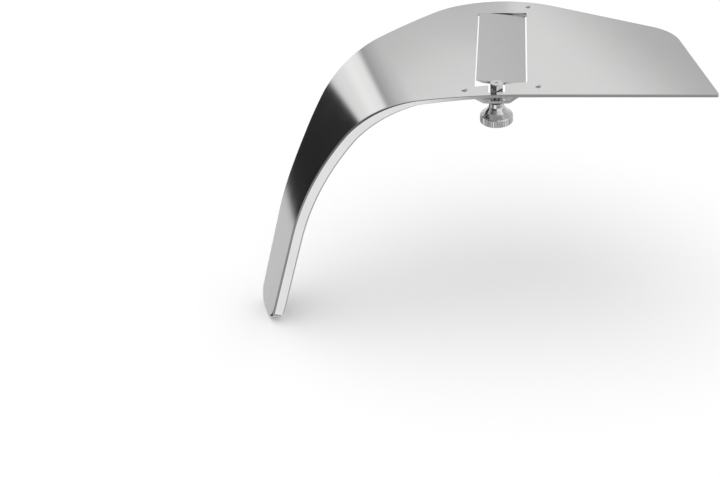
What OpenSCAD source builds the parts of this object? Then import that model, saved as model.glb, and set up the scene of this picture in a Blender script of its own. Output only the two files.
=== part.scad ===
// Adjustable truffle slicer: a cutting plate that runs on into a curved grip,
// with a hinged blade in a window and a thumb nut that sets the slice thickness.
// The plate's top face is z = 0, its straight near edge is y = 0, and x = 0 is
// the thumb nut's axis. The grip curls down towards -x.

/* [Plate] */
// Thickness of the plate
plate_t = 1.2; // [1:0.1:1.6]
// Distance from the thumb nut's axis to the pointed tip
plate_reach = 80; // [70:1:95]
// How far the end edge leans back over its height
end_lean = 11.5; // [6:0.5:16]
// Radius of the plate's far right corner
end_corner_r = 19; // [8:1:24]
// Height of the point where the two straight far edges would meet
crown_y = 96.2; // [92:0.2:100]
// Radius of the far edge's crown
crown_r = 42; // [30:1:50]

/* [Grip] */
// Turn of the bend's axis away from the plate's crosswise direction, in degrees
bend_skew = 19; // [10:1:24]
// Distance from the thumb nut's axis to the first, slow part of the bend
bend_start = 11; // [9:0.5:14]
// Radius of the slow part of the bend
lead_r = 290; // [250:10:330]
// Angle of the slow part of the bend
lead_angle = 7.5; // [5:0.5:9]
// Radius of the tight part of the bend
bend_r = 40; // [36:1:46]
// Angle of the tight part of the bend
bend_angle = 45; // [40:1:48]
// Radius of the grip's own gentle curve
grip_r = 125; // [110:5:150]
// Angle of the grip's gentle curve
grip_angle = 23; // [18:1:26]
// Thickness of the grip
grip_t = 4.3; // [3:0.1:5]
// Width of the grip near its end
grip_w = 22; // [18:1:26]
// How far the grip's end lies below the plate's top face
grip_drop = 104; // [96:1:112]
// Corner radius of the grip's end
grip_end_r = 8; // [3:0.5:10]

/* [Window and blade] */
// Width of the window
window_w = 19.5; // [19.1:0.1:20.4]
// Distance from the near edge to the window's far side
window_far = 74.5; // [74:0.1:75.4]
// Distance from the near edge to the window's near left corner
window_y = 7.5; // [7:0.1:7.8]
// How much farther in the window's near right corner is
window_skew = 2.9; // [2:0.1:3.2]
// Width of the blade
blade_w = 18.5; // [17:0.1:18.6]
// Thickness of the blade
blade_t = 1; // [0.8:0.1:1.1]
// Tilt of the blade that lifts its cutting edge above the plate, in degrees
blade_tilt = 5.5; // [4:0.5:6.5]
// Width of the ground bevel behind the cutting edge
bevel_w = 2.6; // [1.5:0.1:4]

/* [Adjuster] */
// Diameter of the bolt's shank
bolt_d = 2.5; // [2:0.1:2.5]
// Width across the flats of the bolt's head
head_af = 4.6; // [4:0.1:4.8]
// Height of the bolt's head
head_h = 2.4; // [1.6:0.1:2.6]
// Diameter of the thumb nut's knurled rim
rim_d = 12.3; // [11:0.1:13]
// Height of the knurled rim
rim_h = 3.2; // [2.4:0.1:3.4]
// Number of knurls round the rim
knurls = 38; // [28:1:44]
// Diameter of the thumb nut's collar
collar_d = 5.7; // [5:0.1:6]
// Depth of the bridge's pressed pocket below the plate
pocket_depth = 2.5; // [2.2:0.1:2.7]
// Diameter of the rivet heads
rivet_head_d = 2.5; // [2.2:0.1:2.8]

/* [Hidden] */
$fn = 48;
eps = 0.01;

// Places on the plate, each [x, y].
window_x0 = -8;
blade_mid_x = window_x0 + window_w / 2;
bolt_at = [0.2, 5.1];
bridge_rivets_at = [[-11.5, 5.1], [15.5, 6.7]];
hinge_rivet_at = [12.3, 80.7];

// Notch in the near margin that the blade's tongue reaches into.
tongue_w = 4.6;
notch_gap = 0.8;
notch_front = 2.5;
tongue_front = 3.1;

// Blade.
blade_top = -0.2;
end_gap = 0.8;
near_gap = 0.3;
blade_near = window_y + window_skew + near_gap;
blade_far = window_far - end_gap;
edge_t = 0.15;

// Far hinge, with its axis tilted with the blade.
pin_r = 0.8;
pin_gap = 0.05;
pin_end = 0.5;
hinge_y = window_far + 3.6;
hinge_z = -5;
hinge_x = blade_mid_x + (hinge_z - blade_top) * sin(blade_tilt);
eye_r = 1.6;
leaf_w = 9;
leaf_t = 0.7;
leaf_start = blade_far - 16;
leaf_knee = blade_far - 3.5;
ear_gap = 0.5;
ear_t = 1;
ear_r = 2.1;
ear_chamfer = 1.2;
ear_inner = leaf_w / 2 + ear_gap;
ear_outer = ear_inner + ear_t;
bracket_t = 1;
bracket_near = window_far + 0.9;
bracket_far = window_far + 7.8;

// Bridge.
strap_t = 1;
bridge_near = 2;
bridge_w = 6.5;
pocket_half = 4.9;
pocket_slope = 2.9;
foot_x = [-14, 17.8];
strap_top = -plate_t;
pocket_floor = strap_top - pocket_depth;
strap_bottom = pocket_floor - strap_t;

// Adjuster.
clear_r = 0.25;
washer_t = 0.6;
nut_gap = 0.05;
nut_top = strap_bottom - washer_t - nut_gap;
collar_h = 1.8;
flare_h = 1.9;
flare_d = 8.7;
shoulder_h = 1.2;
nut_bottom = nut_top - collar_h - flare_h - shoulder_h - rim_h;
knurl_depth = 0.28;
head_gap = 0.1;
head_chamfer = 0.35;
bolt_end = nut_bottom + 0.9;
thread_gap = 0.05;
spring_wire_r = 0.2;
spring_r = 2.1;
spring_turns = 2.25;

// Rivets.
rivet_r = 0.8;
rivet_gap = 0.02;
rivet_head_h = 0.55;

// ---- Outline helpers ----

// Point list of a polygon whose corners are rounded. Each corner is [x, y, r].
function unit(v) = v / norm(v);
function corner_arc(a, b, c, r, steps) =
    let (
        back = unit(a - b),
        ahead = unit(c - b),
        half = acos(back * ahead) / 2,
        centre = b + unit(back + ahead) * r / sin(half),
        first = b + back * r / tan(half) - centre,
        turn = cross(back, ahead) > 0 ? -1 : 1,
        sweep = turn * (180 - 2 * half)
    )
    [for (i = [0:steps])
        let (w = sweep * i / steps)
        centre + [first.x * cos(w) - first.y * sin(w), first.x * sin(w) + first.y * cos(w)]];
function rounded(corners, steps = 12) = [
    for (i = [0:len(corners) - 1])
        let (
            n = len(corners),
            a = corners[(i + n - 1) % n],
            b = corners[i],
            c = corners[(i + 1) % n]
        )
        for (p = b[2] > 0
            ? corner_arc([a.x, a.y], [b.x, b.y], [c.x, c.y], b[2], steps)
            : [[b.x, b.y]]) p
];

// The plate and grip seen from above.
tip_r = 0.8;
end_top_y = 56;
crown_x = -3.7;
neck_far = [-68.5, 37.4, 16];
neck_near = [-80, grip_w + 2.5, 20];
plan_end_x = -100;
plan_corners = [
    [plate_reach, 0, tip_r],
    [plate_reach - end_lean, end_top_y, end_corner_r],
    [crown_x, crown_y, crown_r],
    neck_far,
    neck_near,
    [plan_end_x, grip_w - 1, 0],
    [plan_end_x, 0, 0]
];

// ---- Section of the plate and grip, across the bend's axis ----

// A stretch of the section's top line: arc of radius r from slope a0 to slope a1,
// starting at point p. Slopes grow as the line turns down towards -x.
function arc_at(p, r, a0, a) = [
    p.x - r * (sin(a) - sin(a0)),
    p.y - r * (cos(a0) - cos(a))
];
slope_1 = lead_angle;
slope_2 = slope_1 + bend_angle;
slope_3 = slope_2 + grip_angle;
top_0 = [bend_start, 0];
top_1 = arc_at(top_0, lead_r, 0, slope_1);
top_2 = arc_at(top_1, bend_r, slope_1, slope_2);
top_3 = arc_at(top_2, grip_r, slope_2, slope_3);
tail_l = 60;
top_4 = top_3 - tail_l * [cos(slope_3), sin(slope_3)];

// Each entry is [point, slope].
function stretch(p, r, a0, a1, steps) =
    [for (i = [0:steps - 1]) let (a = a0 + (a1 - a0) * i / steps) [arc_at(p, r, a0, a), a]];
top_line = concat(
    stretch(top_0, lead_r, 0, slope_1, 8),
    stretch(top_1, bend_r, slope_1, slope_2, 30),
    stretch(top_2, grip_r, slope_2, slope_3, 16),
    [[top_3, slope_3], [top_4, slope_3]]
);

// The thickness grows smoothly with the slope, from the plate's to the grip's.
thick_from = 2.5;
thick_to = 46;
function ease(t) = let (u = min(1, max(0, t))) u * (2 - u);
function thick(a) = plate_t + (grip_t - plate_t) * ease((a - thick_from) / (thick_to - thick_from));
function under(e) = e[0] - thick(e[1]) * [-sin(e[1]), cos(e[1])];
flat_end = plate_reach + 20;

// Slope and height of the plate at a place near the window, where it may already
// be in the slow part of the bend.
function across(x, y) = x * cos(bend_skew) + y * sin(bend_skew);
function slope_at(x, y) = asin(max(0, bend_start - across(x, y)) / lead_r);
function top_at(x, y) = -lead_r * (1 - cos(slope_at(x, y)));
function under_at(x, y) = top_at(x, y) - thick(slope_at(x, y)) / cos(slope_at(x, y));
section = concat(
    [[flat_end, 0]],
    [for (e = top_line) e[0]],
    [for (i = [len(top_line) - 1:-1:0]) under(top_line[i])],
    [[flat_end, -plate_t]]
);

module skewed_section() {
    reach = 130;
    rotate([0, 0, bend_skew])
        translate([0, reach, 0])
            rotate([90, 0, 0])
                linear_extrude(height = 2 * reach)
                    polygon(section);
}

module plan() {
    depth = 120;
    translate([0, 0, -depth])
        linear_extrude(height = depth + 10)
            polygon(rounded(plan_corners));
}

// Rounds the two corners of the grip's end, looking along x. The slicer is uncut
// above clear_z, and the end's far side follows the plan's edge from join_z down.
module grip_end() {
    span = 260;
    clear_z = -60;
    join_z = -grip_drop + 20;
    side = [
        [-1, 5, 0], [100, 5, 0], [100, clear_z + 15, 0], [grip_w + 18, clear_z, 0],
        [grip_w + 1.5, join_z, 0], [grip_w - 0.9, -grip_drop, grip_end_r],
        [0, -grip_drop, grip_end_r], [0, clear_z, 0], [-1, clear_z, 0]
    ];
    translate([-span / 2, 0, 0])
        rotate([90, 0, 90])
            linear_extrude(height = span)
                polygon(rounded(side));
}

// Sets children square on the plate's top face at a place.
module on_plate(at) {
    translate([at.x, at.y, top_at(at.x, at.y)])
        rotate([0, 0, bend_skew])
            rotate([0, -slope_at(at.x, at.y), 0])
                children();
}

module rivet_hole(at) {
    depth = 5;
    on_plate(at)
        translate([0, 0, -depth])
            cylinder(r = rivet_r + rivet_gap, h = depth + 1);
}

module window_cut() {
    corner_r = 0.6;
    cut_h = 8;
    left = window_x0;
    right = window_x0 + window_w;
    notch_half = tongue_w / 2 + notch_gap;
    translate([0, 0, -cut_h / 2])
        linear_extrude(height = cut_h) {
            polygon(rounded([
                [left, window_y, corner_r], [right, window_y + window_skew, corner_r],
                [right, window_far, corner_r], [left, window_far, corner_r]
            ], 4));
            translate([bolt_at.x - notch_half, notch_front])
                square([2 * notch_half, window_y + window_skew - notch_front]);
        }
}

module body() {
    color([0.8, 0.8, 0.8])
        difference() {
            intersection() {
                skewed_section();
                plan();
                grip_end();
            }
            window_cut();
            for (at = bridge_rivets_at) rivet_hole(at);
            rivet_hole(hinge_rivet_at);
        }
}

// ---- Blade and its far hinge ----

// Moves children from a level blade's frame into the tilted one.
module tilted() {
    translate([blade_mid_x, 0, blade_top])
        rotate([0, blade_tilt, 0])
            children();
}

module blade() {
    blade_l = blade_far - blade_near;
    half = blade_w / 2;
    color([0.66, 0.66, 0.66])
        difference() {
            union() {
                tilted()
                    translate([0, blade_far, 0])
                        rotate([90, 0, 0])
                            linear_extrude(height = blade_l)
                                polygon([
                                    [-half, 0], [half, 0], [half, -blade_t],
                                    [-half + bevel_w, -blade_t], [-half, -edge_t]
                                ]);
                tongue();
            }
            translate([bolt_at.x, bolt_at.y, -5])
                cylinder(r = bolt_d / 2 + clear_r, h = 10);
        }
}

module tongue() {
    root = 2.5;
    end_r = 1.3;
    translate([bolt_at.x, 0, blade_top - blade_t])
        linear_extrude(height = blade_t)
            polygon(rounded([
                [-tongue_w / 2, blade_near + root, 0], [-tongue_w / 2, tongue_front, end_r],
                [tongue_w / 2, tongue_front, end_r], [tongue_w / 2, blade_near + root, 0]
            ], 6));
}

// The leaf's strip from the side: y runs along the blade and z is up, in the
// tilted frame. It ends inside the eye, short of the pin's bore.
module leaf_strip() {
    top = -blade_t;
    axis_z = hinge_z - blade_top;
    into_eye = [-0.5, 1.25];
    under_eye = [-1.2, 0.4];
    knee_back = 0.2;
    polygon([
        [leaf_start, top], [leaf_knee, top],
        [hinge_y, axis_z] + into_eye,
        [hinge_y, axis_z] + under_eye,
        [leaf_knee - knee_back, top - leaf_t],
        [leaf_start, top - leaf_t]
    ]);
}

module hinge_leaf() {
    color([0.6, 0.6, 0.6])
        difference() {
            union() {
                tilted()
                    translate([-leaf_w / 2, 0, 0])
                        rotate([90, 0, 90])
                            linear_extrude(height = leaf_w)
                                leaf_strip();
                on_hinge(leaf_w, eye_r);
            }
            on_hinge(2 * leaf_w, pin_r + pin_gap);
        }
}

module on_hinge(length, r) {
    tilted()
        translate([-length / 2, hinge_y, hinge_z - blade_top])
            rotate([0, 90, 0])
                cylinder(r = r, h = length);
}

module hinge_pin() {
    color([0.72, 0.72, 0.74])
        on_hinge(2 * (ear_outer + pin_end), pin_r);
}

module ear(x0) {
    translate([hinge_x + x0, 0, 0])
        rotate([90, 0, 90])
            linear_extrude(height = ear_t)
                polygon([
                    [hinge_y - ear_r, strap_top - bracket_t / 2],
                    [hinge_y + ear_r, strap_top - bracket_t / 2],
                    [hinge_y + ear_r, hinge_z - ear_r + ear_chamfer],
                    [hinge_y + ear_r - ear_chamfer, hinge_z - ear_r],
                    [hinge_y - ear_r + ear_chamfer, hinge_z - ear_r],
                    [hinge_y - ear_r, hinge_z - ear_r + ear_chamfer]
                ]);
}

module hinge_bracket() {
    left = hinge_x - ear_outer;
    right = hinge_rivet_at.x + rivet_head_d;
    color([0.7, 0.7, 0.72])
        difference() {
            union() {
                translate([left, bracket_near, strap_top - bracket_t])
                    cube([right - left, bracket_far - bracket_near, bracket_t]);
                ear(-ear_outer);
                ear(ear_inner);
            }
            on_hinge(3 * leaf_w, pin_r + rivet_gap);
            rivet_hole(hinge_rivet_at);
        }
}

// ---- Bridge, bolt, spring and thumb nut ----

// Top face of the bridge's feet, along the plate's underside at its near end.
function foot_at(x) = under_at(x, bridge_near);

module bridge() {
    mid = bolt_at.x;
    out = pocket_half + pocket_slope;
    fold = 0.5;
    inside = [
        for (x = [foot_x[0], mid - out]) [x, foot_at(x)],
        [mid - pocket_half + fold, pocket_floor],
        [mid + pocket_half - fold, pocket_floor],
        for (x = [mid + out, foot_x[1]]) [x, foot_at(x)]
    ];
    outside = [
        for (x = [foot_x[1], mid + out - fold]) [x, foot_at(x) - strap_t],
        [mid + pocket_half - 2 * fold, strap_bottom],
        [mid - pocket_half + 2 * fold, strap_bottom],
        for (x = [mid - out + fold, foot_x[0]]) [x, foot_at(x) - strap_t]
    ];
    color([0.74, 0.74, 0.76])
        difference() {
            translate([0, bridge_near + bridge_w, 0])
                rotate([90, 0, 0])
                    linear_extrude(height = bridge_w)
                        polygon(concat(inside, outside));
            translate([bolt_at.x, bolt_at.y, strap_bottom - 1])
                cylinder(r = bolt_d / 2 + clear_r, h = strap_t + 2);
            for (at = bridge_rivets_at) rivet_hole(at);
        }
}

// A rivet with a domed head on the plate and a flatter one on the strap below.
module rivet(at, grip) {
    dome_r = (pow(rivet_head_d / 2, 2) + pow(rivet_head_h, 2)) / (2 * rivet_head_h);
    tail_h = 0.4;
    on_plate(at) {
        translate([0, 0, -grip])
            cylinder(r = rivet_r, h = grip + eps);
        rotate_extrude()
            intersection() {
                translate([0, rivet_head_h - dome_r])
                    circle(r = dome_r);
                square([rivet_head_d, rivet_head_h + eps]);
            }
        translate([0, 0, -grip - tail_h])
            cylinder(d = rivet_head_d - 0.2, h = tail_h);
    }
}

module bridge_rivets() {
    play = 0.03;
    color([0.7, 0.7, 0.7])
        for (at = bridge_rivets_at)
            rivet(at, top_at(at.x, at.y) - foot_at(at.x) + strap_t + play);
}

module hinge_rivet() {
    color([0.7, 0.7, 0.7])
        rivet(hinge_rivet_at, plate_t + bracket_t);
}

module adjusting_bolt() {
    seat = blade_top + head_gap;
    top_d = head_af - 0.1;
    chamfer_w = 0.3;
    dimple_r = 1.35;
    dimple_depth = 0.25;
    color([0.75, 0.75, 0.72])
        translate([bolt_at.x, bolt_at.y, 0]) {
            translate([0, 0, bolt_end])
                cylinder(d = bolt_d, h = seat - bolt_end + eps);
            translate([0, 0, seat])
                difference() {
                    intersection() {
                        rotate([0, 0, 30])
                            cylinder(d = head_af / cos(30), h = head_h, $fn = 6);
                        rotate_extrude()
                            polygon([
                                [0, 0], [head_af, 0], [head_af, head_h - head_af / 2],
                                [top_d / 2 + chamfer_w, head_h - head_chamfer],
                                [top_d / 2, head_h], [0, head_h]
                            ]);
                    }
                    translate([0, 0, head_h - dimple_depth + dimple_r])
                        sphere(r = dimple_r);
                }
        }
}

// Centre line of the lifting spring, from its flat foot on the bridge up.
spring_low = pocket_floor + spring_wire_r;
spring_high = blade_top - blade_t - spring_wire_r - 0.05;
function spring_at(t) = [
    spring_r * cos(360 * spring_turns * t),
    spring_r * sin(360 * spring_turns * t),
    spring_low + (spring_high - spring_low) * t
];

module tube(path, r, sides) {
    last = len(path) - 1;
    rings = [for (i = [0:last])
        let (
            ahead = unit(path[min(last, i + 1)] - path[max(0, i - 1)]),
            side = unit(cross(ahead, [0, 0, 1])),
            up = cross(side, ahead)
        )
        for (k = [0:sides - 1])
            path[i] + r * (cos(360 * k / sides) * side + sin(360 * k / sides) * up)];
    faces = concat(
        [[for (k = [0:sides - 1]) k]],
        [for (i = [0:last - 1]) for (k = [0:sides - 1])
            let (m = (k + 1) % sides)
            [i * sides + k, (i + 1) * sides + k, (i + 1) * sides + m, i * sides + m]],
        [[for (k = [sides - 1:-1:0]) last * sides + k]]
    );
    polyhedron(points = rings, faces = faces, convexity = 6);
}

module lift_spring() {
    rings = 54;
    color([0.55, 0.55, 0.58])
        translate([bolt_at.x, bolt_at.y, 0])
            tube([for (i = [0:rings]) spring_at(i / rings)], spring_wire_r, 8);
}

module friction_washer() {
    color([0.12, 0.12, 0.12])
        translate([bolt_at.x, bolt_at.y, strap_bottom - washer_t])
            difference() {
                cylinder(d = collar_d - 0.3, h = washer_t);
                translate([0, 0, -1])
                    cylinder(r = bolt_d / 2 + clear_r, h = washer_t + 2);
            }
}

module thumb_nut() {
    rim_r = rim_d / 2;
    rim_top = nut_bottom + rim_h;
    flare_z = rim_top + shoulder_h;
    soft = 0.4;
    color([0.78, 0.78, 0.8])
        translate([bolt_at.x, bolt_at.y, 0])
            difference() {
                rotate_extrude()
                    polygon([
                        [bolt_d / 2 + thread_gap, nut_top],
                        [collar_d / 2 - 0.2, nut_top],
                        [collar_d / 2, nut_top - 0.2],
                        [collar_d / 2, nut_top - collar_h],
                        [flare_d / 2, flare_z],
                        [rim_r - 0.9, rim_top + 0.5],
                        [rim_r - soft / 2, rim_top],
                        [rim_r, rim_top - soft],
                        [rim_r, nut_bottom + soft],
                        [rim_r - soft, nut_bottom],
                        [bolt_d / 2 + thread_gap, nut_bottom]
                    ]);
                knurl_cuts(rim_r);
            }
}

module knurl_cuts(rim_r) {
    cut_r = 0.36;
    for (i = [0:knurls - 1])
        rotate([0, 0, 360 * i / knurls])
            translate([rim_r + cut_r - knurl_depth, 0, nut_bottom - 1])
                cylinder(r = cut_r, h = rim_h + 1.4, $fn = 4);
}

body();
blade();
hinge_leaf();
hinge_pin();
hinge_bracket();
bridge();
bridge_rivets();
hinge_rivet();
adjusting_bolt();
lift_spring();
friction_washer();
thumb_nut();
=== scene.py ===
# %% [markdown]
# # A truffle slicer, piece by piece
# The slicer is a wide steel plate that runs on into a curved grip. A hinged
# blade lies in a window of the plate, and a thumb nut below sets how far its
# cutting edge stands up. Each cell below makes one piece or one finish.
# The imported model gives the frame: every piece is placed in its coordinates.

# %% Load the frame
import math

import bmesh
import bpy
import numpy as np
from mathutils import Matrix, Vector
from mathutils.geometry import delaunay_2d_cdt


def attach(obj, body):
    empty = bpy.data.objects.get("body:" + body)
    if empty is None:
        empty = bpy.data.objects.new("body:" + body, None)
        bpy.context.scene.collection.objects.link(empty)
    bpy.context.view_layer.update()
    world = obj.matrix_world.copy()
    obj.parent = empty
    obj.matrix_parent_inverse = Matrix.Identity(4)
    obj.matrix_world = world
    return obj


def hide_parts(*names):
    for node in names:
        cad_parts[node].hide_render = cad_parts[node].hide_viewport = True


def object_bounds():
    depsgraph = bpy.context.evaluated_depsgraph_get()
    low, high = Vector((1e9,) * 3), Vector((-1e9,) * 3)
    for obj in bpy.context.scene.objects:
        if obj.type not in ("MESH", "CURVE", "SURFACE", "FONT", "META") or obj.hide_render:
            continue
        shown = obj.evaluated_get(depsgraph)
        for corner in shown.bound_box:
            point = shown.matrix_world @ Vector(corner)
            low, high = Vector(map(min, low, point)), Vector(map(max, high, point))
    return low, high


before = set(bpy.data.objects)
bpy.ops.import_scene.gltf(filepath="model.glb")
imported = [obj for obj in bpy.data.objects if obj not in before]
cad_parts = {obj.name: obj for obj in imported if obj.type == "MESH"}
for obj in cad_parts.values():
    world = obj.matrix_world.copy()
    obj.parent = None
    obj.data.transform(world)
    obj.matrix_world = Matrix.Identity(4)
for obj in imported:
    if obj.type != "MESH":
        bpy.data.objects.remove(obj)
cad_box = [list(corner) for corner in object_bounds()]
print("nodes:", sorted(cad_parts))

# %% [markdown]
# ## Camera
# The slicer is looked at from in front and above, a little turned. A long lens
# keeps the plate's edges nearly parallel. The camera could aim at an empty with
# a constraint, but three written-out directions are exact and need no helper.

# %% Place the camera
camera_data = bpy.data.cameras.new("camera")
camera_data.lens = 73.15
camera_data.sensor_width = 36
camera_data.clip_start = 0.01
camera = bpy.data.objects.new("camera", camera_data)
bpy.context.scene.collection.objects.link(camera)
camera_right = Vector((0.9949, 0.0900, -0.0445)).normalized()
camera_ahead = Vector((-0.0999, 0.8444, -0.5263)).normalized()
camera_up = camera_right.cross(camera_ahead)
camera.matrix_world = Matrix.Translation((0.0045, -0.4818, 0.2380)) @ Matrix((
    camera_right, camera_up, -camera_ahead)).transposed().to_4x4()
bpy.context.scene.camera = camera
print("camera looks down by", round(math.degrees(math.asin(-camera_ahead.z)), 1), "degrees")

# %% [markdown]
# ## Studio
# Polished steel shows nothing but its surroundings, so the surroundings are
# designed like a product studio: a broad grey-white wall behind, a brighter
# soft panel to the left of it, and a black flag beyond that panel. They could
# be real cards round the set. Painting them on the world by direction is
# smoother and gives less noise.

# %% Describe the studio by direction
bpy.context.scene.view_settings.view_transform = "Standard"
world = bpy.data.worlds.new("studio")
bpy.context.scene.world = world
world.use_nodes = True
sky = world.node_tree
sky.nodes.clear()


def sky_math(operation, first, second=None, third=None):
    """One math node of the world, fed by numbers or by other nodes' outputs."""
    node = sky.nodes.new("ShaderNodeMath")
    node.operation = operation
    for socket, value in zip(node.inputs, (first, second, third)):
        if isinstance(value, (int, float)):
            socket.default_value = value
        elif value is not None:
            sky.links.new(value, socket)
    return node.outputs[0]


def sky_steps(value, low, high, stops):
    """Brightness along value: stops are (place, brightness), joined smoothly."""
    spread = sky.nodes.new("ShaderNodeMapRange")
    spread.inputs["From Min"].default_value = low
    spread.inputs["From Max"].default_value = high
    sky.links.new(value, spread.inputs["Value"])
    ramp = sky.nodes.new("ShaderNodeValToRGB")
    ramp.color_ramp.interpolation = "EASE"
    marks = ramp.color_ramp.elements
    while len(marks) > 1:
        marks.remove(marks[-1])
    for number, (place, level) in enumerate(stops):
        share = (place - low) / (high - low)
        mark = marks[0] if number == 0 else marks.new(share)
        mark.position = share
        mark.color = (level, level, level, 1)
    sky.links.new(spread.outputs[0], ramp.inputs[0])
    return ramp.outputs[0]


direction = sky.nodes.new("ShaderNodeTexCoord")
parts = sky.nodes.new("ShaderNodeSeparateXYZ")
sky.links.new(direction.outputs["Generated"], parts.inputs[0])
flat = sky_math("SQRT", sky_math("ADD",
                sky_math("MULTIPLY", parts.outputs[0], parts.outputs[0]),
                sky_math("MULTIPLY", parts.outputs[1], parts.outputs[1])))
turn = sky_math("MULTIPLY", sky_math("ARCTAN2", parts.outputs[0], parts.outputs[1]), 180 / math.pi)
rise = sky_math("MULTIPLY", sky_math("ARCTAN2", parts.outputs[2], flat), 180 / math.pi)
print("the studio is painted by turn and rise, in degrees")

# %% [markdown]
# The back wall is brightest behind the plate and fades to both sides. Its
# shades lean, because a real softbox is never hung quite straight.

# %% Paint the back wall, the panel and the flag
lean_right = sky_math("SUBTRACT", turn, sky_math("MULTIPLY", sky_math("SUBTRACT", rise, 24.9), 1.32))
lean_left = sky_math("ADD", turn, sky_math("MULTIPLY", sky_math("SUBTRACT", rise, 27.35), 3.0))
right_half = sky_steps(lean_right, -10, 40, [(-10, 0.80), (2.5, 0.80), (7.8, 0.49), (25, 0.45), (40, 0.7)])
left_half = sky_steps(lean_left, -90, 0, [
    (-90, 0.78), (-70, 0.84), (-50, 0.97), (-36, 0.92), (-27.2, 0.36), (-22, 0.47),
    (-13, 0.60), (-6, 0.76), (0, 0.80)])
side = sky_math("LESS_THAN", turn, 0.0)
back = sky_math("ADD", sky_math("MULTIPLY", left_half, side),
                sky_math("MULTIPLY", right_half, sky_math("SUBTRACT", 1.0, side)))
flag = sky_steps(turn, -100, -40, [(-100, 0.9), (-85, 0.6), (-74, 0.03), (-45.6, 0.03), (-44.2, 1.0)])
print("back wall, bright panel and flag are in place")

# %% [markdown]
# In front and below, the studio is the table's paler side and the dark room
# behind the camera. Overhead it is dim. This shows only in the plate's thin
# front edge and in the small turned pieces.

# %% Paint the front and the overhead
front_turn = sky_math("MODULO", sky_math("ADD", turn, 360.0), 360.0)
high_front = sky_steps(front_turn, 90, 270, [
    (90, 0.95), (140, 0.8), (165, 0.9), (182, 0.08), (225, 0.04), (270, 0.2)])
low_front = sky_steps(front_turn, 90, 270, [
    (90, 0.55), (150, 0.28), (180.5, 0.30), (184, 0.85), (205, 0.9), (230, 0.15), (270, 0.4)])
overhead = sky_steps(rise, -90, 90, [
    (-90, 0.75), (-50, 0.75), (-12, 0.75), (8, 0.45), (40, 0.45), (60, 0.3), (90, 0.25)])
facing_back = sky_steps(parts.outputs[1], -1, 1, [(-1, 0), (-0.15, 0), (0.15, 1), (1, 1)])
high = sky_steps(rise, -90, 90, [(-90, 0), (38, 0), (60, 1), (90, 1)])
low = sky_steps(rise, -90, 90, [(-90, 1), (-9, 1), (4, 0), (90, 0)])


def sky_mix(share, one, other):
    """Share of one, the rest of the other."""
    return sky_math("ADD", sky_math("MULTIPLY", one, share),
                    sky_math("MULTIPLY", other, sky_math("SUBTRACT", 1.0, share)))


wall = sky_math("MULTIPLY", back, flag)
LOW_BACK = 0.62
all_round = sky_mix(facing_back, wall, sky_mix(low, low_front, high_front))
below_back = sky_mix(low, sky_math("MULTIPLY", LOW_BACK, flag), all_round)
below_top = sky_mix(facing_back, below_back, all_round)
studio = sky_mix(high, overhead, below_top)
shown = sky.nodes.new("ShaderNodeLightPath")
seen = sky_mix(shown.outputs["Is Glossy Ray"], studio, 1.0)
paint = sky.nodes.new("ShaderNodeBackground")
sky.links.new(seen, paint.inputs["Color"])
screen = sky.nodes.new("ShaderNodeOutputWorld")
sky.links.new(paint.outputs[0], screen.inputs["Surface"])
print("world nodes:", len(sky.nodes))

# %% [markdown]
# ## Light and floor
# Only reflections see the painted studio. The camera and the floor see an even
# white surround, and one weak, broad lamp overhead adds a faint shadow. Lamp and
# floor are both left out of the steel's reflections, as on a raised set.

# %% Hang the lamp and lay the floor
lowest = cad_box[0][2]
middle = [(low_side + high_side) / 2 for low_side, high_side in zip(*cad_box)]
lamp_data = bpy.data.lights.new("overhead_lamp", "AREA")
lamp_data.shape = "DISK"
lamp_data.size = 1.1
lamp_data.energy = 2.5
lamp = bpy.data.objects.new("overhead_lamp", lamp_data)
lamp.location = (middle[0] - 0.1, middle[1] - 0.05, 1.1)
lamp.visible_glossy = False
bpy.context.scene.collection.objects.link(lamp)

floor_mesh = bpy.data.meshes.new("floor")
reach = 3.0
floor_mesh.from_pydata([(-reach, -reach, lowest), (reach, -reach, lowest), (reach, reach, lowest),
                        (-reach, reach, lowest)], [], [(0, 1, 2, 3)])
floor = bpy.data.objects.new("floor", floor_mesh)
floor.visible_glossy = False
bpy.context.scene.collection.objects.link(floor)
floor_finish = bpy.data.materials.new("pale_floor")
floor_finish.use_nodes = True
floor_shader = floor_finish.node_tree.nodes["Principled BSDF"]
floor_shader.inputs["Base Color"].default_value = (0.93, 0.93, 0.93, 1)
floor_shader.inputs["Roughness"].default_value = 0.9
floor_mesh.materials.append(floor_finish)
print("floor at", round(lowest * 1000, 1), "mm")

# %% [markdown]
# ## Steel finishes
# Every metal here is the same kind of shader with a different grain. Fine
# stretched noise is the grinding or polishing grain: it moves the roughness and
# a very low bump. A broad noise adds faint handling marks. An "edge" value on
# the mesh makes worn edges a little brighter and smoother.

# %% Build a metal finish
MM = 0.001


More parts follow.
